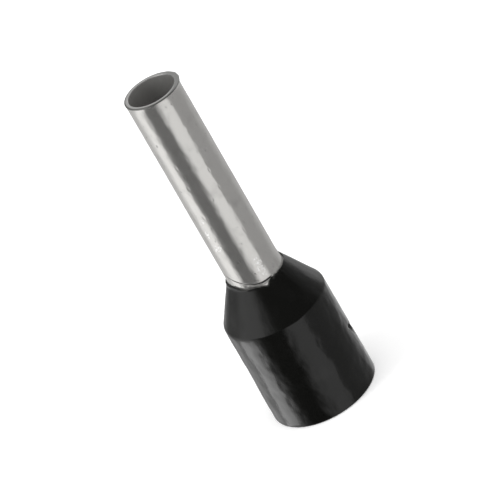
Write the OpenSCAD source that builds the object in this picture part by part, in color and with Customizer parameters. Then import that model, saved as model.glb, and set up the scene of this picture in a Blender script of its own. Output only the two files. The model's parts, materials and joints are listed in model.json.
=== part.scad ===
// Insulated wire ferrule: a drawn, flared metal barrel seated in a moulded plastic collar.
// All sizes are in millimetres and degrees.
// The ferrule stands on the rim where the wire goes in, and its pin points along +Z.

/* [Overall] */
// Length from the entry rim of the collar to the tip of the pin
overall_length = 14; // [12:0.1:24]

/* [Barrel] */
// Outside diameter of the pin
pin_od = 2.08; // [1.6:0.01:2.5]
// Wall of the drawn tube
tube_wall = 0.16; // [0.1:0.01:0.2]
// Growth of the pin's radius at the tip, where the tube was cut off
tip_bell = 0.02; // [0:0.005:0.05]
// Length over which the tip grows
tip_bell_length = 0.3; // [0.2:0.05:0.6]
// Rounding of the tube's edges, at the tip and at the flare's rim
tube_edge = 0.04; // [0.02:0.01:0.045]
// Radius to which the outside of the tube bends as it opens into the flare
flare_bend = 2.8; // [2.2:0.1:3.4]
// Straight length of the flare below that bend, along its slope
flare_reach = 0.4; // [0.2:0.05:0.5]

/* [Collar] */
// Length of the collar from its entry rim to its mouth round the pin
collar_length = 5.72; // [5:0.02:7]
// Outside diameter of the collar at its shoulder
collar_od = 4; // [3.6:0.05:4.8]
// Wall round the insulation socket, at the shoulder
socket_wall = 0.25; // [0.2:0.01:0.3]
// Angle between the axis and the slope of the collar's cone, which the flare follows
cone_angle = 29.5; // [26:0.5:33]
// Wall of the cone outside the flare
cone_wall = 0.2; // [0.16:0.01:0.25]
// Wall of the lip at the mouth
lip_wall = 0.035; // [0.02:0.005:0.06]
// Draft of the skirt, which is widest at the entry rim
skirt_draft = 0.5; // [0:0.1:1]
// Radius of the shoulder between skirt and cone
shoulder_radius = 0.3; // [0.1:0.05:0.5]
// Rounding of the entry rim's outer edge
rim_round = 0.07; // [0.03:0.01:0.1]
// Rounding of the entry rim's inner edge, which leads the insulation in
rim_lead = 0.06; // [0.03:0.01:0.1]

/* [Gate mark] */
// Width of the shallow dish in the skirt, where the moulding's gate was trimmed off
gate_mark_width = 0.5; // [0.3:0.05:0.7]
// Depth of that dish
gate_mark_depth = 0.05; // [0.03:0.01:0.08]
// Height of its middle over the entry rim
gate_mark_height = 1.95; // [1:0.05:2.8]
// Direction of it round the axis, from +X towards +Y
gate_mark_angle = -12; // [-180:1:180]

/* [Fit] */
// Clearance between the tube and the collar
seat_gap = 0.01; // [0.005:0.005:0.02]
// Height that the plastic stands in past the flare's inner edge, so that no strand catches on it
strand_guard = 0.02; // [0:0.01:0.04]

/* [Hidden] */

// Facets of a full turn
turn_facets = 96;
// Steps of the long flare bend and of a small rounded edge
bend_steps = 12;
edge_steps = 4;

pin_radius = pin_od / 2;
collar_radius = collar_od / 2;
socket_radius = collar_radius - socket_wall;

// Slope of the flare: a unit step down and out along it, and one square to it, out of the metal
slope_out = sin(cone_angle);
slope_down = cos(cone_angle);
down_slope = [slope_out, -slope_down];
off_slope = [slope_down, slope_out];

// Angle that the tube has already opened to at the mouth. It leaves cone_wall of plastic outside the flare
mouth_cover = cone_wall + seat_gap - (seat_gap + lip_wall) * slope_down;
mouth_angle = cone_angle - acos(1 - mouth_cover / flare_bend);
// Height of the bend's start over the mouth, or under it where the tube is still straight at the mouth
straight_mouth_rise = (seat_gap + lip_wall + (flare_bend - cone_wall - seat_gap) / slope_down - flare_bend)
    * slope_down / slope_out;
bend_rise = mouth_angle > 0 ? flare_bend * sin(mouth_angle) : straight_mouth_rise;
bend_z = collar_length + bend_rise;
// Centre of the bend, which tube and collar share
bend_centre = [pin_radius + flare_bend, bend_z];

// Radius of the collar's bore and of its outside, at the mouth
seat_bend = flare_bend - seat_gap;
seat_mouth_angle = max(0, asin(bend_rise / seat_bend));
mouth_bore_radius = bend_centre[0] - seat_bend * cos(seat_mouth_angle);
mouth_radius = mouth_bore_radius + lip_wall;

// Shoulder where the cone meets the skirt, and the skirt's radius at the entry rim
shoulder_z = collar_length - (collar_radius - mouth_radius) * slope_down / slope_out;
entry_radius = collar_radius + shoulder_z * tan(skirt_draft);

// End of the bend on the outside of the tube, and the corners of the flare's square-cut rim
bend_end = bend_centre - flare_bend * off_slope;
rim_outer_radius = min(bend_end[0] + flare_reach * slope_out, collar_radius - cone_wall - seat_gap);
rim_outer = bend_end + (rim_outer_radius - bend_end[0]) / slope_out * down_slope;
rim_inner = rim_outer - tube_wall * off_slope;

// Pocket in the collar for that rim, and the crest of plastic that covers its edge
pocket_outer = rim_outer + seat_gap * (off_slope + down_slope);
pocket_crest = pocket_outer - (tube_wall + seat_gap + strand_guard) * off_slope;
crest = pocket_crest[0] < socket_radius ? pocket_crest
    : pocket_outer - (pocket_outer[0] - socket_radius) / slope_down * off_slope;
// Height where the socket ends and the funnel that leads the strands in begins
socket_z = crest[1] - (socket_radius - crest[0]) * slope_down / slope_out;

// Radius of the skirt at the gate mark, and of the ball that cuts the dish
gate_skirt_radius = collar_radius + (shoulder_z - gate_mark_height) * tan(skirt_draft);
gate_ball_radius = (pow(gate_mark_width / 2, 2) + pow(gate_mark_depth, 2)) / (2 * gate_mark_depth);

// Points on an arc round a centre. The angle is measured at the centre, from the axis outwards to the slope
function bend_arc(centre, radius, from, to, steps) =
    [for (i = [0 : steps]) let (a = from + (to - from) * i / steps) centre - radius * [cos(a), sin(a)]];

function unit(v) = v / norm(v);

// A corner of an outline, replaced by an arc that touches both of its sides
function rounded(before, corner, after, radius, steps = edge_steps) =
    let (
        u = unit(before - corner),
        v = unit(after - corner),
        half = acos(u * v) / 2,
        centre = corner + radius / sin(half) * unit(u + v),
        first = corner + radius / tan(half) * u - centre,
        last = corner + radius / tan(half) * v - centre,
        sweep = 180 - 2 * half
    )
    [for (i = [0 : steps])
        let (t = i / steps)
        centre + (sin((1 - t) * sweep) * first + sin(t * sweep) * last) / sin(sweep)];

// Side of the tip, which grows as a parabola from the plain tube to the cut
function tip_side(radius, sign) =
    [for (i = [0 : edge_steps - 1])
        let (t = sign > 0 ? i / edge_steps : (edge_steps - 1 - i) / edge_steps)
        [radius + tip_bell * t * t, overall_length - tip_bell_length * (1 - t)]];

// Outline of the barrel's wall: up the outside from the flare, over the tip and down the bore
function barrel_outline() =
    let (
        bore_radius = pin_radius - tube_wall,
        tip_outer = [pin_radius + tip_bell, overall_length],
        tip_inner = [bore_radius + tip_bell, overall_length],
        outer_side = tip_side(pin_radius, 1),
        inner_side = tip_side(bore_radius, -1)
    )
    concat(
        rounded(rim_inner, rim_outer, bend_end, tube_edge),
        bend_arc(bend_centre, flare_bend, cone_angle, 0, bend_steps),
        outer_side,
        rounded(outer_side[edge_steps - 1], tip_outer, tip_inner, tube_edge),
        rounded(tip_outer, tip_inner, inner_side[0], tube_edge),
        inner_side,
        bend_arc(bend_centre, flare_bend + tube_wall, 0, cone_angle, bend_steps),
        rounded(bend_end - tube_wall * off_slope, rim_inner, rim_outer, tube_edge)
    );

// Outline of the collar's wall: up the outside from the entry rim, over the lip and down the inside
function collar_outline() =
    let (
        rim_outer_corner = [entry_radius, 0],
        rim_inner_corner = [socket_radius, 0],
        shoulder = [collar_radius, shoulder_z],
        lip_outer = [mouth_radius, collar_length],
        lip_inner = [mouth_bore_radius, collar_length],
        socket_end = [socket_radius, socket_z]
    )
    concat(
        rounded(rim_inner_corner, rim_outer_corner, shoulder, rim_round),
        rounded(rim_outer_corner, shoulder, lip_outer, shoulder_radius),
        [lip_outer, lip_inner],
        bend_arc(bend_centre, seat_bend, seat_mouth_angle, cone_angle, bend_steps),
        [pocket_outer, crest, socket_end],
        rounded(socket_end, rim_inner_corner, rim_outer_corner, rim_lead)
    );

module contact_barrel() {
    color("silver")
    rotate_extrude($fn = turn_facets)
        polygon(barrel_outline());
}

// Ball that cuts the gate mark's dish out of the skirt
module gate_mark() {
    rotate([0, 0, gate_mark_angle])
    translate([gate_skirt_radius - gate_mark_depth + gate_ball_radius, 0, gate_mark_height])
        sphere(r = gate_ball_radius, $fn = turn_facets);
}

module insulating_collar() {
    color([0.07, 0.07, 0.07])
    difference() {
        rotate_extrude($fn = turn_facets)
            polygon(collar_outline());
        gate_mark();
    }
}

contact_barrel();
insulating_collar();
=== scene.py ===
import json
import math

import bmesh
import bpy
from mathutils import Matrix, Vector, noise


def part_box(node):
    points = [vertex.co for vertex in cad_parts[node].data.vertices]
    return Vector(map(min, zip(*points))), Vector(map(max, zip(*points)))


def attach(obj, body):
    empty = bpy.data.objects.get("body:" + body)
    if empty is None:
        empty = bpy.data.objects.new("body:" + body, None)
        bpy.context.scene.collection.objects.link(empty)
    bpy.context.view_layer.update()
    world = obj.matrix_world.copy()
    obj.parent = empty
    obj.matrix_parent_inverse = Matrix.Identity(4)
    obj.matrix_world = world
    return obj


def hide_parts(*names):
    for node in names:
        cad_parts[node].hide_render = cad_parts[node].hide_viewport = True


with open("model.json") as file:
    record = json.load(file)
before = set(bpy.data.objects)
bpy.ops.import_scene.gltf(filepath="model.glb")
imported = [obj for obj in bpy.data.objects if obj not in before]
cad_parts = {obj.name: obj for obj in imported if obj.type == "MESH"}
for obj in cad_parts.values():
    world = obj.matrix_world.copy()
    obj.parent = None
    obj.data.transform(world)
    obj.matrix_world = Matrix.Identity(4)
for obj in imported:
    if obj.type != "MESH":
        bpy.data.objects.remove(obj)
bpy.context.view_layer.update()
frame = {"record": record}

# A wire ferrule: a tinned barrel, flared inside a black moulded collar.
# Meshes are worked out in millimetres and become metres when they are made.
# Angles round the part are in degrees, 0 towards the camera and growing to its right.
# A fade is a pair of values: where something is at nothing, and where it is full.
# A ripple is a pair too: the length of its waves, and the seed of its noise.
mm = 0.001
white = (1, 1, 1, 1)


def mountNamed(name):
    return next(m for m in frame["record"]["mounts"] if m["name"] == name)


def straight(value, low, high):  # 0 at low, 1 at high, and held there
    return min(max((value - low) / (high - low), 0.0), 1.0)


def between(value, low, high):  # the same with a soft start and end
    t = straight(value, low, high)
    return t * t * (3 - 2 * t)


def within(value, fadeIn, fadeOut):  # 1 from where one fade ends to where the other does
    return between(value, *fadeIn) * between(value, *fadeOut)


def bell(value):  # 1 in the middle, fading on both sides
    return math.exp(-value * value)


def steps(start, end, count):  # evenly spaced, both ends in
    return [start + (end - start) * i / count for i in range(count + 1)]


def arc(centre, radius, start, end, count):  # points on an arc; 0 degrees is outwards and 90 is up
    turns = [math.radians(t) for t in steps(start, end, count)]
    return [(centre[0] + radius * math.cos(t), centre[1] + radius * math.sin(t)) for t in turns]


def around(angle, radius, height):  # a place round the part's axis
    turn = math.radians(angle)
    return Vector((radius * math.sin(turn), -radius * math.cos(turn), height))


def sideways(angle, at, radius):  # millimetres round the skin, from one angle to another
    return math.radians((angle - at + 180) % 360 - 180) * radius


rippleRadius = 2                       # of the skin on which wave lengths are true
rippleShift = Vector((7.3, 3.1, 5.7))  # from one seed to the next


def ripple(angle, height, wave, seed):  # smooth unevenness of a round skin, about -1 to 1
    return noise.noise(around(angle, rippleRadius, height) / wave + rippleShift * seed)


def rippled(angle, height, waves, seed):  # several ripples at once, each with its own height
    return sum(high * ripple(angle, height, wave, seed) for wave, high in waves)


# What both pieces share, read from the frame
pin = mountNamed("contact_pin")
pinRadius = pin["dims"]["r_mm"]
boreRadius = mountNamed("conductor_bore")["dims"]["r_mm"]
socketRadius = mountNamed("insulation_socket")["dims"]["r_mm"]
bendTop = pin["pos_m"][2] / mm - pin["dims"]["length_mm"] / 2  # where the tube starts to open
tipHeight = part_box("contact_barrel")[1].z / mm
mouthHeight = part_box("insulating_collar")[1].z / mm
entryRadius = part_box("insulating_collar")[1].x / mm
tubeWall = pinRadius - boreRadius

flare = {
    "bend": 2.8,      # outside radius of the bend
    "slope": 29.5,    # of the flare and of the collar's cone, degrees from the axis
    "reach": 0.4,     # straight length under the bend
    "edge": 0.04,     # rounding of its rim
    "gap": 0.01,      # between tube and collar
}
slope = math.radians(flare["slope"])
offSlope = Vector((math.cos(slope), math.sin(slope)))    # out of the metal
downSlope = Vector((math.sin(slope), -math.cos(slope)))  # towards the flare's rim
bendCentre = pinRadius + flare["bend"]


def tubeRadius(height, lift=0.0):  # of the tube's outside, or of a skin lifted off it
    bend = flare["bend"] - lift
    drop = min(max(bendTop - height, 0.0), bend * math.sin(slope))
    return bendCentre - math.sqrt(bend * bend - drop * drop)


def bendPoint(turn, lift=0.0):  # on the bend, once the tube has turned by that angle
    bend = flare["bend"] - lift
    return Vector((bendCentre - bend * math.cos(turn), bendTop - bend * math.sin(turn)))


flareRim = bendPoint(slope) + flare["reach"] * downSlope  # its outer corner

# The moulded lip isn't level: it climbs the tube on the left, and sags over the flare in front
lip = {
    "low": 0.01,                # how far its even height lies under the mouth
    "foot": 0.45,               # depth under the mouth at which the cone is even all round
    "thick": 0.035,
    "thinner": 0.25,            # share of that lost at its edge
    "skin": 0.4,                # share of the collar's waves on it
    "rise": 0.135,
    "riseSides": ((-230, -140), (-30, -62)),
    "dip": 0.18,
    "dipLeft": (-28, 8),
    "dipRight": (17, 5),
    "uneven": 0.014,
    "unevenRipple": (0.3, 6),
    "flash": 0.045,             # ragged stretch on the right
    "flashSides": ((14, 20), (56, 44)),
    "flashUpRipple": (0.09, 3),
    "flashOutRipple": (0.12, 9),
    "bulge": 0.032,             # a lump on the left
    "bulgeAngle": -86,
    "bulgeWidth": 20,
    "bulgeFoot": (0.7, 0.9),    # in shares of the lip's height
    "slack": 0.06,              # how far it stands off the tube in front
    "slackSides": ((-78, -43), (15, 9)),
    "rightSlack": 0.02,
    "rightSlackSides": ((14, 24), (125, 100)),
}


def flashShare(angle):
    return within(angle, *lip["flashSides"])


def lipHeight(angle):
    seam = lip["riseSides"][0][0] + 360  # behind the part, where the climb starts
    a = angle - 360 if angle > seam else angle
    rise = lip["rise"] * within(a, *lip["riseSides"])
    dip = lip["dip"] * straight(a, *lip["dipLeft"]) ** 2 * between(a, *lip["dipRight"])
    ragged = lip["uneven"] * ripple(angle, 0, *lip["unevenRipple"])
    ragged += lip["flash"] * flashShare(angle) * ripple(angle, 0, *lip["flashUpRipple"])
    return mouthHeight - lip["low"] + rise - dip + ragged


def lipSlack(angle):
    front = lip["slack"] * within(angle, *lip["slackSides"])
    return front + lip["rightSlack"] * within(angle, *lip["rightSlackSides"])


def intoScene(name, data):
    made = bpy.data.objects.new(name, data)
    bpy.context.scene.collection.objects.link(made)
    return made


def asObject(name, bm):  # takes a finished bmesh
    mesh = bpy.data.meshes.new(name)
    bm.to_mesh(mesh)
    bm.free()
    return intoScene(name, mesh)


def lathe(name, rings, sides):
    # A ring is a function of the angle that gives radius and height. The last ring joins the first.
    bm = bmesh.new()
    angles = [360 * k / sides - 180 for k in range(sides)]
    table = [[bm.verts.new(around(angle, *ring(angle)) * mm) for angle in angles] for ring in rings]
    for i, row in enumerate(table):
        above = table[(i + 1) % len(table)]
        for k in range(sides):
            beside = (k + 1) % sides
            bm.faces.new((row[k], row[beside], above[beside], above[k])).smooth = True
    bmesh.ops.recalc_face_normals(bm, faces=bm.faces)
    piece = asObject(name, bm)
    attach(piece, "root")
    print("made", name, "with", len(piece.data.polygons), "faces")
    return piece


def level(radius, height):  # a ring that is the same all round
    return lambda angle: (radius, height)


barrel = {
    "sides": 360,
    "waves": ((1.5, 0.0036), (0.35, 0.0034), (0.16, 0.0010)),  # of the drawn wall: length, height
    "waveSeed": 2,
    "bell": 0.02,               # growth of the radius at the cut tip
    "bellLength": 0.3,
    "tipRound": 0.045,          # outer edge of the cut
    "boreRound": 0.02,          # inner edge
    "burr": 0.05,               # metal that the cutter turned outwards
    "burrAngle": 88,            # where it stands out most
    "burrWidth": 48,
    "burrLeast": 0.12,          # share of it that goes all round
    "burrDown": (0.16, 0),      # under the tip
    "burrUneven": 0.35,
    "burrRipple": (0.35, 3),
    "cutUneven": 0.006,
    "cutLow": 0.8,              # share of that by which the whole cut lies lower
    "cutRipple": (0.6, 9),
    "creaseLow": 5.735,         # witness line of the flaring tool, just over the collar
    "creaseTilt": 0.158,
    "creaseClimb": 0.6,         # the most that it rises
    "creaseAngle": 4,           # where it is lowest
    "creaseSpread": 18,
    "creaseSides": ((-96, -70), (26, 19)),
    "creaseDepth": 0.02,
    "creaseUneven": 0.4,        # of the depth
    "creaseRipple": (0.2, 7),
    "creaseHalf": 0.017,        # half its width
    "creaseWider": 0.7,         # share of that added on the right
    "creaseWidens": (-20, 0),
    "wander": 0.006,            # up and down
    "wanderRipple": (0.3, 8),
    "faintRise": 0.10,          # a second, fainter line over it
    "faintDepth": 0.012,
    "faintHalf": 0.02,
    "faintSides": ((-24, -14), (18, 10)),
    "bead": 0.005,              # metal pushed up between that line and the lip
    "beadFoot": 0.004,          # over the lip
    "beadTop": 2.4,             # under the line's middle, in half widths
    "beadStart": 0.15,          # share of its arch that the lip hides
    "beadUneven": 1.2,
    "beadRipple": (0.13, 4),
    "openTop": 7.2,             # rows of the mesh follow the crease up to here
    "openFoot": 4,              # over the line's middle, in half widths
    "openCrowding": 1.3,        # rows are closer near the crease
    "row": 0.06,                # height of a row of the pin
    "knockReach": 3,            # in half heights; past it a knock is next to nothing
    # Rows of the mesh across the crease, in half widths from its middle
    "creaseRows": (-2.2, -1.5, -1.1, -0.8, -0.5, -0.2, 0.1, 0.4, 0.7, 1, 1.4, 2.1, 3),
}

# Knocks in the pin: angle, height, half width, half height, depth
knocks = (
    (-55, 11.96, 0.030, 0.06, 0.004),
    (-35, 11.26, 0.025, 0.05, 0.005),
    (-35, 10.33, 0.040, 0.05, 0.007),
    (-39, 10.12, 0.040, 0.04, 0.006),
    (-44, 9.87, 0.045, 0.12, 0.004),
    (-48, 9.50, 0.040, 0.07, 0.006),
    (-58, 9.08, 0.030, 0.16, 0.004),
    (-38, 9.02, 0.045, 0.07, 0.007),
    (-46, 8.80, 0.060, 0.10, 0.005),
    (34, 12.82, 0.020, 0.05, 0.003),
    (21, 10.64, 0.030, 0.06, 0.008),
    (22, 9.86, 0.025, 0.05, 0.006),
    (8, 13.09, 0.030, 0.04, 0.003),
    (-52, 7.55, 0.050, 0.20, 0.004),
    (-47, 6.75, 0.070, 0.16, 0.005),
    (22, 7.90, 0.030, 0.12, 0.003),
    (15, 6.35, 0.045, 0.16, -0.004),
    (150, 9.40, 0.050, 0.12, 0.005),
    (-140, 11.60, 0.040, 0.10, 0.004),
    (105, 7.30, 0.050, 0.08, 0.005),
    (-28, 13.20, 0.22, 0.30, 0.004),
    (-62, 12.70, 0.16, 0.35, 0.004),
    (12, 12.30, 0.20, 0.40, 0.003),
)


def creaseHeight(angle):
    b = barrel
    away = min(angle - b["creaseAngle"], 0) / b["creaseSpread"]
    return b["creaseLow"] + min(b["creaseTilt"] * (math.hypot(away, 1) - 1), b["creaseClimb"])


def creaseShare(angle):  # the line fades out round the back
    return within(angle, *barrel["creaseSides"])


def creaseHalf(angle):  # and is wider on the right
    b = barrel
    return b["creaseHalf"] * (1 + b["creaseWider"] * between(angle, *b["creaseWidens"]))


def wallWave(angle, height):
    b = barrel
    wave = rippled(angle, height, b["waves"], b["waveSeed"])
    for at, up, halfWidth, halfHeight, depth in knocks:
        if abs(height - up) < b["knockReach"] * halfHeight:
            aside = sideways(angle, at, pinRadius)
            wave -= depth * bell(aside / halfWidth) * bell((height - up) / halfHeight)
    return wave


def makeBarrel():
    b = barrel

    def wall(height):
        return lambda angle: (tubeRadius(height) + wallWave(angle, height), height)

    def bead(share):  # from just over the lip up to the crease
        def ring(angle):
            low = lipHeight(angle) + b["beadFoot"]
            high = creaseHeight(angle) - b["beadTop"] * creaseHalf(angle)
            height = low + (high - low) * share
            lumps = 1 + b["beadUneven"] * ripple(angle, height, *b["beadRipple"])
            arch = math.sin(math.pi * (b["beadStart"] + (1 - b["beadStart"]) * share))
            return tubeRadius(height) + b["bead"] * lumps * arch * creaseShare(angle), height
        return ring

    def crease(step):
        def ring(angle):
            wander = b["wander"] * ripple(angle, 0, *b["wanderRipple"])
            height = creaseHeight(angle) + step * creaseHalf(angle) + wander
            uneven = 1 + b["creaseUneven"] * ripple(angle, 0, *b["creaseRipple"])
            groove = b["creaseDepth"] * bell(step) * uneven * creaseShare(angle)
            return tubeRadius(height) + wallWave(angle, height) - groove, height
        return ring

    def opening(share):  # from the crease up to the plain pin
        def ring(angle):
            low = creaseHeight(angle) + b["openFoot"] * creaseHalf(angle)
            height = low + (b["openTop"] - low) * share
            over = height - creaseHeight(angle) - b["faintRise"]
            faint = b["faintDepth"] * bell(over / b["faintHalf"]) * within(angle, *b["faintSides"])
            return tubeRadius(height) + wallWave(angle, height) - faint, height
        return ring

    def tip(radius, height, outer):  # outer is 1 on the outside of the wall and 0 in the bore
        def ring(angle):
            down = tipHeight - height
            t = max(1 - down / b["bellLength"], 0.0)
            turned = bell((angle - b["burrAngle"]) / b["burrWidth"]) + b["burrLeast"]
            uneven = 1 + b["burrUneven"] * ripple(angle, 0, *b["burrRipple"])
            burr = outer * b["burr"] * turned * uneven * between(down, *b["burrDown"])
            cut = b["cutUneven"] * t ** 4 * (ripple(angle, 0, *b["cutRipple"]) - b["cutLow"])
            return radius + b["bell"] * t * t + burr + wallWave(angle, height) * (1 - t), height + cut
        return ring

    rings = []
    # Rounded rim of the flare, then up its outside
    edge, degrees = flare["edge"], flare["slope"]
    noseOut = flareRim - edge * (offSlope + downSlope)
    noseIn = flareRim - (tubeWall - edge) * offSlope - edge * downSlope
    rings += [level(*p) for p in arc(noseOut, edge, degrees - 90, degrees, 5)]
    rings += [level(*bendPoint(turn)) for turn in steps(slope, slope / 2, 5)]
    rings += [bead(share) for share in steps(0, 1, 12)]
    rings += [crease(step) for step in b["creaseRows"]]
    rings += [opening(share ** b["openCrowding"]) for share in steps(0, 1, 22)]
    # Plain pin and belled tip
    row = b["row"]
    bellFoot = tipHeight - b["bellLength"]
    rings += [wall(z) for z in steps(b["openTop"] + row, bellFoot - row, 104)]
    tipEdge = (pinRadius - b["tipRound"], tipHeight - b["tipRound"])
    rings += [tip(pinRadius, z, 1) for z in steps(bellFoot, tipEdge[1] - row / 5, 9)]
    rings += [tip(r, z, 1) for r, z in arc(tipEdge, b["tipRound"], 0, 90, 8)]
    boreEdge = (boreRadius + b["boreRound"], tipHeight - b["boreRound"])
    rings += [tip((tipEdge[0] + boreEdge[0]) / 2, tipHeight, 0.5)]
    rings += [tip(r, z, 0) for r, z in arc(boreEdge, b["boreRound"], 90, 180, 5)]
    rings += [tip(boreRadius, z, 0) for z in steps(tipHeight - row, bellFoot, 5)]
    # Down the bore and the inside of the flare
    rings += [level(boreRadius, z) for z in steps(bellFoot - 0.2, bendTop + 0.1, 20)]
    rings += [level(*bendPoint(turn, -tubeWall)) for turn in steps(0, slope, 10)]
    rings += [level(*p) for p in arc(noseIn, edge, degrees + 180, degrees + 270, 5)]
    piece = lathe("barrelTube", rings, b["sides"])
    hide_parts("contact_barrel")
    return piece


collar = {
    "sides": 440,
    "radius": 2.0,              # at the shoulder
    "shoulder": 0.22,           # rounding of the shoulder
    "rimRound": 0.07,
    "rimLead": 0.06,
    "guard": 0.02,              # plastic that stands in past the flare's inner edge
    "guardEdge": ((0.012, 0.006), (0.004, -0.012)),  # rounds its crest: outwards, upwards
    "waves": ((1.7, 0.010), (0.80, 0.015), (0.40, 0.011), (0.22, 0.005)),  # of the skin: length, height
    "waveSeed": 5,
    "waveStretch": 0.8,         # up the skin
    "wavesFromRim": (0, 0.25),
    "wavesOnCone": 0.45,        # share of them that is left there
    "wavesOverShoulder": (0.3, -0.2),
    "lipCrowding": 1.6,         # rows are closer near the lip's edge
    "neckCrowding": 1.5,
    "lipEdge": ((0.985, 0.004), (1.0, 0.013)),  # share of the lip's height, distance inwards
    "near": 0.03,               # from one set of rows to the next
}

# Where the moulding's gate was trimmed off: a shallow dish, with a nick torn slantwise into it
gate = {
    "angle": 78,
    "height": 1.95,
    "halfWidth": 0.24,
    "halfHeight": 0.25,
    "depth": 0.02,
    "rows": 0.32,               # reach of the closer rows, over and under it
    "nickAngle": 84,
    "nickHeight": 1.93,
    "nickTilt": 28,             # degrees, its left end up
    "nickHalfLength": 0.43,
    "nickHalfWidth": 0.095,
    "nickDepth": 0.13,
    "nickUneven": 0.3,
    "nickRipple": (0.15, 2),
    "tornLean": 0.3,            # rough skin under the nick, which leans as the nick does
    "tornSide": (0.22, 0.10),
    "tornTop": (0, 0.1),
    "tornFoot": (0.8, 0.5),
    "tornDepth": 0.010,
    "tornRipple": (0.15, 4),
    "tornStretch": 0.45,        # up the skin
}


def gateCut(angle, height):  # how far the mark takes the skirt's skin in
    g = gate
    aside = sideways(angle, g["angle"], collar["radius"])
    dish = 1 - (aside / g["halfWidth"]) ** 2 - ((height - g["height"]) / g["halfHeight"]) ** 2
    x, y = sideways(angle, g["nickAngle"], collar["radius"]), height - g["nickHeight"]
    tilt = math.radians(g["nickTilt"])
    along = (x * math.cos(tilt) - y * math.sin(tilt)) / g["nickHalfLength"]
    across = (x * math.sin(tilt) + y * math.cos(tilt)) / g["nickHalfWidth"]
    away = math.hypot(along, across) * (1 + g["nickUneven"] * ripple(angle, height, *g["nickRipple"]))
    under = -y - g["tornLean"] * x
    torn = between(abs(aside), *g["tornSide"]) * within(under, g["tornTop"], g["tornFoot"])
    rough = g["tornDepth"] * torn * ripple(angle, height * g["tornStretch"], *g["tornRipple"])
    return g["depth"] * max(dish, 0.0) + g["nickDepth"] * math.exp(-away ** 4) + rough


def makeCollar():
    c = collar
    gap, near = flare["gap"], c["near"]
    mouthRadius = tubeRadius(mouthHeight, gap) + lip["thick"]
    shoulderHeight = mouthHeight - (c["radius"] - mouthRadius) / math.tan(slope)
    lipFoot = mouthHeight - lip["foot"]

    def skin(angle, height):
        overShoulder = between(height - shoulderHeight, *c["wavesOverShoulder"])
        share = c["wavesOnCone"] + (1 - c["wavesOnCone"]) * overShoulder
        share *= between(height, *c["wavesFromRim"])
        return share * rippled(angle, height * c["waveStretch"], c["waves"], c["waveSeed"])

    def skirt(height):
        def ring(angle):
            draft = (entryRadius - c["radius"]) * (1 - height / shoulderHeight)
            return c["radius"] + draft + skin(angle, height) - gateCut(angle, height), height
        return ring

    def skinned(radius, height):
        return lambda angle: (radius + skin(angle, height), height)

    def coneRadius(height):
        return mouthRadius + (mouthHeight - height) * math.tan(slope)

    def lipOutside(share, inset=0.0):
        def ring(angle):
            height = lipFoot + (lipHeight(angle) - lipFoot) * share
            bulge = lip["bulge"] * bell((angle - lip["bulgeAngle"]) / lip["bulgeWidth"])
            bulge *= between(share, *lip["bulgeFoot"])
            flash = lip["flash"] * ripple(angle, height, *lip["flashOutRipple"]) * flashShare(angle)
            thick = lip["thick"] * (1 - lip["thinner"] * share)
            least = tubeRadius(height, gap) + lipSlack(angle) * share ** 5 + thick
            radius = max(coneRadius(height), least) + bulge + flash * share ** 4
            return radius - inset + lip["skin"] * skin(angle, height), height
        return ring

    def lipInside(share):
        def ring(angle):
            height = lipFoot + (lipHeight(angle) - lipFoot) * share
            return tubeRadius(height, gap) + lipSlack(angle) * share ** 5, height
        return ring

    rings = []
    # Entry rim and skirt, with closer rows at the gate mark
    rim = c["rimRound"]
    rings += [level(*p) for p in arc((entryRadius - rim, rim), rim, -90, 0, 7)]
    skirtTop = shoulderHeight - c["shoulder"] * math.tan(slope / 2)
    gateRows = steps(gate["height"] - gate["rows"], gate["nickHeight"] + gate["rows"], 36)
    plainRows = steps(rim + 0.04, skirtTop - 0.02, 84)
    rowsUnder = [z for z in plainRows if z < gateRows[0] - near]
    rowsOver = [z for z in plainRows if z > gateRows[-1] + near]
    rings += [skirt(z) for z in rowsUnder + gateRows + rowsOver]
    # Shoulder: an arc that touches skirt and cone
    shoulderCentre = (c["radius"] - c["shoulder"], skirtTop)
    rings += [skinned(r, z) for r, z in arc(shoulderCentre, c["shoulder"], 0, flare["slope"], 7)[1:]]
    coneFoot = skirtTop + c["shoulder"] * math.sin(slope)
    rings += [skinned(coneRadius(z), z) for z in steps(coneFoot + 0.04, lipFoot - near, 20)]
    # Lip, and the neck behind it
    rings += [lipOutside(1 - share ** c["lipCrowding"]) for share in steps(1, 0.12, 14)]
    rings += [lipOutside(share, inset) for share, inset in c["lipEdge"]]
    rings += [lipInside(1 - share ** c["neckCrowding"]) for share in steps(0, 1, 9)]
    neckTurn = math.asin((bendTop - lipFoot) / (flare["bend"] - gap))
    rings += [level(*bendPoint(turn, gap)) for turn in steps(neckTurn + 0.03, slope, 6)]
    # Pocket round the flare's rim, the guard under it, the funnel and the socket
    pocket = flareRim + gap * (offSlope + downSlope)
    crest = pocket - (tubeWall + gap + c["guard"]) * offSlope
    socketTop = crest.y - (socketRadius - crest.x) / math.tan(slope)
    rings += [level(*pocket)]
    rings += [level(crest.x + out, crest.y + up) for out, up in c["guardEdge"]]
    for z in steps(crest.y - 2 * near, socketTop + near, 5):
        rings.append(level(socketRadius - (z - socketTop) * math.tan(slope), z))
    lead = c["rimLead"]
    rings += [level(socketRadius, z) for z in steps(socketTop - near, lead + 0.02, 24)]
    rings += [level(*p) for p in arc((socketRadius + lead, lead), lead, 180, 270, 7)]
    piece = lathe("collarShell", rings, c["sides"])
    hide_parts("insulating_collar")
    return piece


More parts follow.
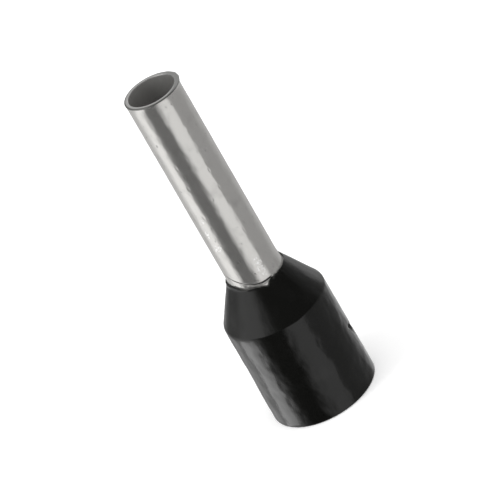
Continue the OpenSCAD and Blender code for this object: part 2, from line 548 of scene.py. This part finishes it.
# Shader trees, written as sums
class Wire:
    def __init__(self, tree, socket):
        self.tree = tree
        self.socket = socket

    def maths(self, operation, *values):
        return self.tree.node("ShaderNodeMath", {"operation": operation}, dict(enumerate(values)))

    def __add__(self, other):
        return self.maths("ADD", self, other)

    def __radd__(self, other):
        return self.maths("ADD", other, self)

    def __sub__(self, other):
        return self.maths("SUBTRACT", self, other)

    def __rsub__(self, other):
        return self.maths("SUBTRACT", other, self)

    def __mul__(self, other):
        return self.maths("MULTIPLY", self, other)

    def __rmul__(self, other):
        return self.maths("MULTIPLY", other, self)

    def __truediv__(self, other):
        return self.maths("DIVIDE", self, other)

    def __rtruediv__(self, other):
        return self.maths("DIVIDE", other, self)

    def __pow__(self, other):
        return self.maths("POWER", self, other)

    def __abs__(self):
        return self.maths("ABSOLUTE", self)


class Tree:
    def __init__(self, owner):
        owner.use_nodes = True
        self.nodes = owner.node_tree.nodes
        self.links = owner.node_tree.links
        self.nodes.clear()

    def node(self, kind, settings=None, values=None, out=0):
        made = self.nodes.new(kind)
        for name, value in (settings or {}).items():
            setattr(made, name, value)
        for name, value in (values or {}).items():
            if isinstance(value, Wire):
                self.links.new(value.socket, made.inputs[name])
            else:
                made.inputs[name].default_value = value
        return Wire(self, made.outputs[out]) if made.outputs else made

    def outputs(self, wire, names):  # other outputs of the node that a wire comes from
        return [Wire(self, wire.socket.node.outputs[name]) for name in names]

    def between(self, value, low, high):  # 0 at low, 1 at high, eased
        settings = {"interpolation_type": "SMOOTHSTEP"}
        return self.node("ShaderNodeMapRange", settings, {"Value": value, "From Min": low, "From Max": high})

    def within(self, value, fadeIn, fadeOut):
        return self.between(value, *fadeIn) * self.between(value, *fadeOut)

    def mixColour(self, factor, first, second):
        return self.node("ShaderNodeMix", {"data_type": "RGBA"}, {"Factor": factor, 6: first, 7: second}, 2)

    def vector(self, operation, first, second=(0, 0, 0), out=0):
        return self.node("ShaderNodeVectorMath", {"operation": operation}, {0: first, 1: second}, out)

    def place(self):  # on the part, in millimetres
        return self.vector("MULTIPLY", self.node("ShaderNodeTexCoord", out="Object"), (1 / mm,) * 3)

    def apart(self, vector):
        return self.outputs(self.node("ShaderNodeSeparateXYZ", None, {0: vector}), "XYZ")

    def away(self, vector, centre, stretch=(1, 1, 1)):  # distance from a point
        shifted = self.vector("SUBTRACT", vector, centre)
        return self.vector("LENGTH", self.vector("MULTIPLY", shifted, stretch), out="Value")

    def degrees(self, operation, values):
        return self.node("ShaderNodeMath", {"operation": operation}, values) * (180 / math.pi)

    def angle(self, x, y):  # round the part
        return self.degrees("ARCTAN2", {0: x, 1: y * -1})

    def noise(self, vector, scale, detail, stretch=(1, 1, 1)):
        values = {"Vector": self.vector("MULTIPLY", vector, stretch), "Scale": scale, "Detail": detail}
        return self.node("ShaderNodeTexNoise", None, values)

    def noises(self, vector, table):
        return {name: self.noise(vector, *values) for name, values in table.items()}

    def seen(self):  # three values, 1 for a ray from the camera, from gloss, or through glass
        path = self.node("ShaderNodeLightPath")
        return self.outputs(path, ("Is Camera Ray", "Is Glossy Ray", "Is Transmission Ray"))

    def surface(self, values, height, depth):  # height is the bump, and depth how deep it is in millimetres
        bump = self.node("ShaderNodeBump", None, {"Strength": 1.0, "Distance": depth * mm, "Height": height})
        self.finish(self.node("ShaderNodeBsdfPrincipled", None, {**values, "Normal": bump}))

    def glow(self, strength):
        self.finish(self.node("ShaderNodeEmission", None, {"Color": white, "Strength": strength}))

    def finish(self, surface, kind="ShaderNodeOutputMaterial"):
        self.node(kind, None, {"Surface": surface})


def newMaterial(name):
    material = bpy.data.materials.new(name)
    return material, Tree(material)


def dress(piece, material):
    piece.data.materials.clear()
    piece.data.materials.append(material)


def added(start, marks, shares):  # start, and each mark times its share
    for name, share in shares.items():
        start = start + marks[name] * share
    return start


tin = {
    "clean": (0.80, 0.786, 0.761, 1),
    "clouded": (0.72, 0.707, 0.684, 1),
    "rubbed": (0.94, 0.938, 0.925, 1),
    "cutFace": (0.71, 0.705, 0.69, 1),
    "cutEdge": (0.27, 0.27, 0.26, 1),     # painted shade on the rounded outer edge of the cut; the pits are darkened towards it too
    "burr": (0.46, 0.46, 0.45, 1),
    "grime": (0.03, 0.03, 0.028, 1),      # painted shade in the crease: a dark colour along the witness line
    "bore": (0.30, 0.295, 0.285, 1),
    "metallic": 0.88,                     # a haze of oxide scatters the rest
    "boreMetallic": 0.45,
    "roughness": 0.17,
    "bump": 0.004,
    "pitTint": 0.5,                       # how dark the pits are
    "patchUneven": 2.2,                   # outline of a scratched patch
    "edgeUneven": 0.03,                   # outline of the painted shade on the cut's outer edge
    "grimeLeast": 0.2,                    # width of the painted shade line, in widths of the crease
    "grimeUneven": 2.2,
    "noises": {                           # scale, detail, stretch
        "drawn": (1.0, 3.0, (22, 22, 0.4)),
        "lumps": (3.6, 2.0, (1, 1, 0.7)),
        "cloud": (1.3, 3.0),
        "grain": (26.0, 2.0),
        "pits": (8.0, 1.0, (1, 1, 0.7)),
        "patch": (5.0, 3.0),
        "flecks": (14.0, 3.0, (1, 1, 0.6)),
        "rubs": (5.0, 3.0, (1, 1, 0.35)),
        "grime": (7.0, 2.0),
    },
    "fades": {
        "cloud": (0.5, 0.75),
        "pits": (0.70, 0.76),
        "patch": (1.4, 0.5),
        "flecks": (0.45, 0.60),
        "rubs": (0.56, 0.66),
        "rubsDown": (10.0, 6.5),          # by height
        "grime": (1.35, 0.4),
        "grimeIn": (tubeWall, 0.05),      # by depth in the wall
        "bore": (0.09, 0.13),             # by depth too
        "boreDown": (0.012, 0.05),        # under the tip
        "cutFace": (0.055, 0.03),         # under the tip too
        "cutEdge": (0.055, 0.025),        # by depth
        "burr": (62, 25),                 # by degrees from where it stands out most
    },
    # What each mark adds to the roughness and to the bump, and the share of the metallic value it takes
    "rougher": {
        "drawn": 0.08, "cloud": 0.08, "pits": 0.1, "bore": 0.3, "flecks": 0.15, "cutEdge": 0.15, "grime": 0.3,
    },
    "raised": {"lumps": 1.0, "drawn": 0.12, "grain": 0.04, "pits": -0.12, "worn": -0.2, "flecks": 0.3},
    "duller": {"grime": 0.8, "flecks": 0.42},
}

# Patches of fine scratches: angle, height, half width, half height
scratched = (
    (14, 6.40, 0.15, 0.34),
    (11, 6.00, 0.13, 0.16),
    (-47, 7.62, 0.20, 0.20),
    (-54, 8.25, 0.08, 0.30),
    (-45, 8.85, 0.08, 0.16),
    (-48, 9.50, 0.07, 0.14),
)


def tinPlate():
    material, tree = newMaterial("tinPlate")
    b = barrel
    place = tree.place()
    x, y, z = tree.apart(place)
    angle = tree.angle(x, y)
    inward = pinRadius - (x * x + y * y) ** 0.5
    down = tipHeight - z
    noises = tree.noises(place, tin["noises"])

    def faded(name, value):
        return tree.between(value, *tin["fades"][name])

    marks = {"lumps": noises["lumps"], "grain": noises["grain"]}
    marks["drawn"] = noises["drawn"] - 0.5
    marks["cloud"] = noises["cloud"] - 0.5
    marks["pits"] = faded("pits", noises["pits"])
    marks["worn"] = faded("rubs", noises["rubs"]) * faded("rubsDown", z)

    # Flecks where the plating was scratched, with a dark side and a bright side
    uneven = (noises["patch"] - 0.5) * tin["patchUneven"]
    patch = 0.0
    for at, height, halfWidth, halfHeight in scratched:
        stretch = (1 / halfWidth, 1 / halfWidth, 1 / halfHeight)
        away = tree.away(place, around(at, pinRadius, height), stretch)
        patch = patch + faded("patch", away + uneven)
    marks["flecks"] = faded("flecks", noises["flecks"]) * patch

    # Painted shade in the witness line of the flaring tool: a dark line along the groove, which is also
    # duller and rougher
    aside = tree.node("ShaderNodeMath", {"operation": "MINIMUM"}, {0: angle - b["creaseAngle"], 1: 0.0})
    aside = aside * (1 / b["creaseSpread"])
    line = ((aside * aside + 1) ** 0.5 - 1) * b["creaseTilt"] + b["creaseLow"]
    half = (tree.between(angle, *b["creaseWidens"]) * b["creaseWider"] + 1) * b["creaseHalf"]
    half = half * (noises["grime"] * tin["grimeUneven"] + tin["grimeLeast"])
    grime = faded("grime", abs(z - line) / half) * tree.within(angle, *b["creaseSides"])
    marks["grime"] = grime * faded("grimeIn", inward)

    marks["bore"] = faded("bore", inward) * faded("boreDown", down)
    cutFace = faded("cutFace", down)
    # Painted shade: a dark band on the rounded outer edge of the cut, which is also rougher
    marks["cutEdge"] = cutFace * faded("cutEdge", inward - (noises["grain"] - 0.5) * tin["edgeUneven"])
    burr = cutFace * faded("burr", abs(angle - b["burrAngle"]))

    colour = tree.mixColour(faded("cloud", noises["cloud"]), tin["clean"], tin["clouded"])
    # Colour layers: the cut's outer edge and the crease line are painted shade, and the pits are darkened
    # towards the same grey
    layers = (
        (marks["pits"] * tin["pitTint"], "cutEdge"),
        (marks["flecks"], "rubbed"),
        (cutFace, "cutFace"),
        (marks["cutEdge"], "cutEdge"),
        (burr, "burr"),
        (marks["grime"], "grime"),
        (marks["bore"], "bore"),
    )
    for share, name in layers:
        colour = tree.mixColour(share, colour, tin[name])
    metallic = tin["metallic"] - marks["bore"] * (tin["metallic"] - tin["boreMetallic"])
    for name, share in tin["duller"].items():
        metallic = metallic * (1 - marks[name] * share)
    roughness = added(tin["roughness"], marks, tin["rougher"])
    values = {"Base Color": colour, "Metallic": metallic, "Roughness": roughness}
    tree.surface(values, added(0.0, marks, tin["raised"]), tin["bump"])
    return material


plastic = {
    "colour": (0.0040, 0.0041, 0.0035, 1),
    "dusty": (0.0085, 0.0085, 0.0078, 1),
    "scuffed": (0.030, 0.030, 0.029, 1),
    "roughness": 0.19,
    "bend": 1.5,                # of light, the index of refraction
    "bump": 0.009,
    "tornMiddle": 0.2,          # under the gate mark's middle
    "tornStretch": (3.4, 3.4, 1.9),
    "tornUneven": 0.8,
    "noises": {                 # as for the tin, and so are the next three
        "cloud": (0.9, 4.0),
        "flow": (4.0, 3.0, (1, 1, 0.5)),
        "grain": (34.0, 2.0),
        "speck": (11.0, 1.0),
        "tear": (14.0, 2.0, (1, 1, 0.6)),
    },
    "fades": {
        "cloud": (0.52, 0.8),
        "speck": (0.70, 0.78),
        "torn": (1.1, 0.7),
        "tear": (0.52, 0.66),
        "nick": (0.56, 0.4),
        "nickIn": (-0.010, 0.015),  # by depth under the shoulder's radius
    },
    "rougher": {"cloud": 0.10, "flow": 0.12, "speck": 0.08, "torn": 0.25, "nick": 0.6},
    "raised": {"flow": 1.0, "grain": 0.03, "speck": 0.06, "torn": 0.2},
}


def blackPlastic():
    material, tree = newMaterial("blackPlastic")
    place = tree.place()
    x, y, z = tree.apart(place)
    inward = collar["radius"] - (x * x + y * y) ** 0.5
    noises = tree.noises(place, plastic["noises"])

    def faded(name, value):
        return tree.between(value, *plastic["fades"][name])

    marks = {"grain": noises["grain"]}
    marks["cloud"] = noises["cloud"] - 0.5
    marks["flow"] = noises["flow"] - 0.5
    marks["speck"] = faded("speck", noises["speck"])

    # Torn skin round and under the gate mark, and grime in the nick
    middle = around(gate["angle"], collar["radius"], gate["height"] - plastic["tornMiddle"])
    away = tree.away(place, middle, plastic["tornStretch"])
    torn = faded("torn", away + marks["flow"] * plastic["tornUneven"])
    marks["torn"] = torn * faded("tear", noises["tear"])
    nick = around(gate["nickAngle"], collar["radius"], gate["nickHeight"])
    marks["nick"] = faded("nick", tree.away(place, nick)) * faded("nickIn", inward)

    colour = tree.mixColour(faded("cloud", noises["cloud"]), plastic["colour"], plastic["dusty"])
    colour = tree.mixColour(marks["torn"], colour, plastic["scuffed"])
    roughness = added(plastic["roughness"], marks, plastic["rougher"])
    values = {"Base Color": colour, "Roughness": roughness, "IOR": plastic["bend"]}
    tree.surface(values, added(0.0, marks, plastic["raised"]), plastic["bump"])
    return material


# The studio: a pale floor, soft lamps, and a tent of cards that only the gloss shows. Its sizes are in metres
studio = {
    "floorReach": 0.6,
    "floorHole": 0.00188,    # under the rim, so that light from underneath gets into the socket
    "floorSides": 96,
    "floorColour": (0.93, 0.93, 0.93, 1),
    "floorLift": 0.20,       # light of its own, so that the lit floor is white
    "dome": 0.82,            # sky light on the part and the floor
    "tentRadius": 0.14,
    "tentBase": 0.25,        # glow between the cards
}

# Each card of the tent: its edges round the part, how soft each is, its edges over the horizon, and its glow
cards = {
    "rightRise": {"left": 121, "right": 185, "soft": (50, 40), "up": (-90, 6), "fade": 16, "glow": 0.43},
    "backSweep": {"left": 180, "right": 236, "soft": (40, 50), "up": (-90, -14), "fade": 16, "glow": 0.50},
    "leftCard": {"left": -119, "right": -70, "soft": (40, 26), "up": (-90, 2), "fade": 14, "glow": 0.92},
    "leftFlag": {"left": -67, "right": -6, "soft": (30, 24), "up": (-90, 3), "fade": 10, "glow": 0.035},
    "frontCard": {"left": -7, "right": 42, "soft": (28, 7), "up": (-90, 0), "fade": 8, "glow": 0.74},
    "leftPanel": {"left": -103, "right": -39, "soft": (40, 40), "up": (-4, 52), "fade": 12, "glow": 1.00},
    "cameraSide": {"left": -33, "right": 90, "soft": (40, 40), "up": (4, 64), "fade": 8, "glow": 0.05},
    "rightPanel": {"left": 131, "right": 155, "soft": (30, 20), "up": (-8, 26), "fade": 14, "glow": 1.15},
    "backWall": {"left": 150, "right": 225, "soft": (20, 20), "up": (13, 90), "fade": 12, "glow": 0.42},
    "underShade": {"left": -200, "right": 200, "soft": (1, 1), "up": (-110, -51), "fade": 14, "glow": 0.26},
    "underGlow": {"left": -200, "right": 200, "soft": (1, 1), "up": (-110, -72), "fade": 12, "glow": 0.75},
}


def makeFloor():
    bm = bmesh.new()
    turns = [2 * math.pi * k / studio["floorSides"] for k in range(studio["floorSides"])]
    inner, outer = [
        [bm.verts.new((reach * math.cos(t), reach * math.sin(t), 0)) for t in turns]
        for reach in (studio["floorHole"], studio["floorReach"])
    ]
    for k in range(len(turns)):
        bm.faces.new((inner[k - 1], outer[k - 1], outer[k], inner[k]))
    floor = asObject("floor", bm)
    material, tree = newMaterial("paleFloor")
    camera, gloss, glass = tree.seen()
    lift = (camera + gloss + glass) * studio["floorLift"]
    values = {"Base Color": studio["floorColour"], "Roughness": 1.0, "Specular IOR Level": 0.0,
              "Emission Color": white, "Emission Strength": lift}
    top = tree.node("ShaderNodeBsdfPrincipled", None, values)
    under = tree.node("ShaderNodeNewGeometry", out="Backfacing")
    clear = tree.node("ShaderNodeBsdfTransparent")
    tree.finish(tree.node("ShaderNodeMixShader", None, {0: under, 1: top, 2: clear}))
    dress(floor, material)
    floor.visible_glossy = False


def onlyInGloss(card):
    for ray in ("camera", "diffuse", "transmission", "shadow"):
        setattr(card, "visible_" + ray, False)


def makeTent():
    bm = bmesh.new()
    bmesh.ops.create_uvsphere(bm, u_segments=64, v_segments=32, radius=studio["tentRadius"])
    tent = asObject("lightTent", bm)
    tent.location.z = tipHeight / 2 * mm
    material, tree = newMaterial("tentCards")
    x, y, z = tree.apart(tree.vector("NORMALIZE", tree.node("ShaderNodeTexCoord", out="Object")))
    angle = tree.angle(x, y)
    lift = tree.degrees("ARCSINE", {0: z})
    glow = studio["tentBase"]
    for card in cards.values():
        half = (card["right"] - card["left"]) / 2
        aside = angle - (card["left"] + half)
        turned = tree.node("ShaderNodeMath", {"operation": "WRAP"}, {0: aside, 1: 180.0, 2: -180.0})
        softLeft, softRight, fade = card["soft"][0] / 2, card["soft"][1] / 2, card["fade"] / 2
        low, high = card["up"]
        mask = tree.within(turned, (-half - softLeft, softLeft - half), (half + softRight, half - softRight))
        mask = mask * tree.within(lift, (low - fade, low + fade), (high + fade, high - fade))
        glow = glow + mask * (card["glow"] - glow)
    tree.glow(glow)
    dress(tent, material)
    onlyInGloss(tent)


# Upright strips close to the skirt's sides, low enough to stay out of the pin's gloss in the picture
sideStrips = {
    "leftEdge": {"sweep": (-150, -117), "glow": 0.88},
    "leftBright": {"sweep": (-117, -82), "glow": 2.6},
    "rightStep": {"sweep": (127, 146), "glow": 0.62},
    "rightEdge": {"sweep": (146, 178), "glow": 0.90},
}
stripPlace = {
    "away": 2.5,            # mm from the skirt, along the directions that it reflects the strip in
    "top": 2.75,
    "bottom": -1.5,         # under the floor, which gloss doesn't show
    "columns": 24,
}


def makeSideStrips():
    ends = (stripPlace["bottom"], stripPlace["top"])
    for name, strip in sideStrips.items():
        bm = bmesh.new()
        rows = []
        for away in steps(*strip["sweep"], stripPlace["columns"]):
            foot = around(away / 2, entryRadius, 0) + around(away, stripPlace["away"], 0)
            rows.append([bm.verts.new((foot.x * mm, foot.y * mm, z * mm)) for z in ends])
        for here, there in zip(rows, rows[1:]):
            bm.faces.new((here[0], here[1], there[1], there[0]))
        card = asObject(name, bm)
        material, tree = newMaterial(name + "Glow")
        tree.glow(strip["glow"])
        dress(card, material)
        onlyInGloss(card)


def makeWorld():
    world = bpy.data.worlds.new("softDome")
    bpy.context.scene.world = world
    tree = Tree(world)
    camera, gloss, glass = tree.seen()
    settings = {"operation": "ADD", "use_clamp": True}
    seen = tree.node("ShaderNodeMath", settings, {0: camera + gloss, 1: glass})
    strength = studio["dome"] + seen * (1 - studio["dome"])
    sky = tree.node("ShaderNodeBackground", None, {"Color": white, "Strength": strength})
    tree.finish(sky, "ShaderNodeOutputWorld")


lamps = {
    "overhead": {"place": (0.05, -0.06, 0.34), "size": 0.26, "watts": 0.27},
    "leftSoft": {"place": (-0.30, -0.06, 0.28), "size": 0.20, "watts": 0.54},
}


def makeLamps():
    for name, lamp in lamps.items():
        data = bpy.data.lights.new(name, "AREA")
        data.shape = "DISK"
        data.size = lamp["size"]
        data.energy = lamp["watts"]
        light = intoScene(name, data)
        light.location = lamp["place"]
        aim = Vector((0, 0, tipHeight / 2 * mm)) - light.location
        light.rotation_mode = "QUATERNION"
        light.rotation_quaternion = aim.to_track_quat("-Z", "Y")
        light.visible_glossy = False


shot = {
    "lens": 406,
    "sensor": 36,
    "clip": (0.01, 10),     # metres
    "distance": 200,
    "above": 28.8,          # degrees over the horizon
    "roll": 30.0,           # the part leans to the left in the picture
    "aside": -0.39,         # the part's middle from the picture's middle, to the right
    "over": 0.25,           # and upwards
}


def makeCamera():
    data = bpy.data.cameras.new("camera")
    data.lens = shot["lens"]
    data.sensor_width = shot["sensor"]
    data.clip_start, data.clip_end = shot["clip"]
    camera = intoScene("camera", data)
    above, roll = math.radians(shot["above"]), math.radians(shot["roll"])
    forward = Vector((0, math.cos(above), -math.sin(above)))
    rise = Vector((0, math.sin(above), math.cos(above)))
    right = Vector((math.cos(roll), 0, 0)) - math.sin(roll) * rise
    up = Vector((math.sin(roll), 0, 0)) + math.cos(roll) * rise
    middle = Vector((0, 0, tipHeight / 2))
    place = middle - shot["aside"] * right - shot["over"] * up - shot["distance"] * forward
    turn = Matrix((right, up, -forward)).transposed().to_4x4()
    camera.matrix_world = Matrix.Translation(place * mm) @ turn
    bpy.context.scene.camera = camera


bpy.context.scene.view_settings.view_transform = "Standard"
makeCamera()
makeFloor()
makeTent()
makeSideStrips()
makeWorld()
makeLamps()
print("studio ready")
dress(makeBarrel(), tinPlate())
dress(makeCollar(), blackPlastic())
print("ferrule ready")
